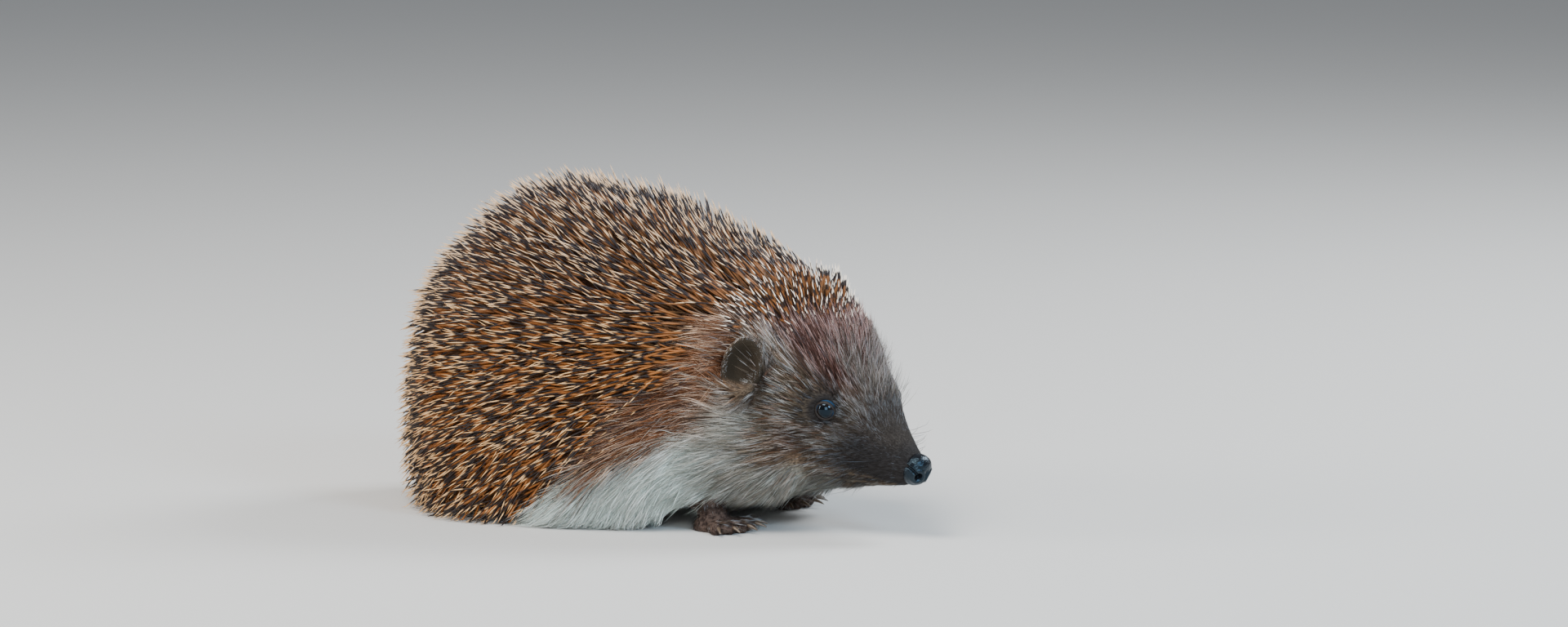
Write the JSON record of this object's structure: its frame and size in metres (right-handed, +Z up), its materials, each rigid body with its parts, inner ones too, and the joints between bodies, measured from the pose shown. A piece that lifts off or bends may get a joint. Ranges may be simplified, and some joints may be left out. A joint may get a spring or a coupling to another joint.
{
  "type": "hedgehog",
  "caption": "Life-size still model of a hedgehog crouched on its paws, with a spiny back, furry face and flanks, round ears and a pointed snout held close to the ground.",
  "frame": {"origin": "on the floor, under the middle of the animal's length and width", "axes": "+X towards the nose, +Y to the animal's left, +Z up"},
  "size_m": [0.1816, 0.1066, 0.1006],
  "materials": {
    "spines": "satin banded horn, cream tips over a dark band",
    "fur": "coarse grey-brown hair, cream white on the flanks and breast",
    "ear_skin": "thin velvety skin with fine short hair",
    "limb_skin": "creased skin with sparse short hair",
    "nose_skin": "moist grained black skin",
    "eye": "wet glossy black",
    "claw": "satin dark horn"
  },
  "bodies": {
    "root": {"head": "fur", "lower_jaw": "fur", "nose": "nose_skin", "neck": "spines", "eye_right": "eye", "ear_right": "ear_skin", "fore_paw_right": "limb_skin", "fore_leg_right": "limb_skin", "fore_claw_right_1": "claw", "fore_claw_right_2": "claw", "fore_claw_right_3": "claw", "fore_claw_right_4": "claw", "fore_claw_right_5": "claw", "hind_paw_right": "limb_skin", "hind_leg_right": "limb_skin", "hind_claw_right_1": "claw", "hind_claw_right_2": "claw", "hind_claw_right_3": "claw", "hind_claw_right_4": "claw", "hind_claw_right_5": "claw", "eye_left": "eye", "ear_left": "ear_skin", "fore_paw_left": "limb_skin", "fore_leg_left": "limb_skin", "fore_claw_left_1": "claw", "fore_claw_left_2": "claw", "fore_claw_left_3": "claw", "fore_claw_left_4": "claw", "fore_claw_left_5": "claw", "hind_paw_left": "limb_skin", "hind_leg_left": "limb_skin", "hind_claw_left_1": "claw", "hind_claw_left_2": "claw", "hind_claw_left_3": "claw", "hind_claw_left_4": "claw", "hind_claw_left_5": "claw", "trunk": "spines", "tail": "limb_skin"}
  },
  "joints": []
}
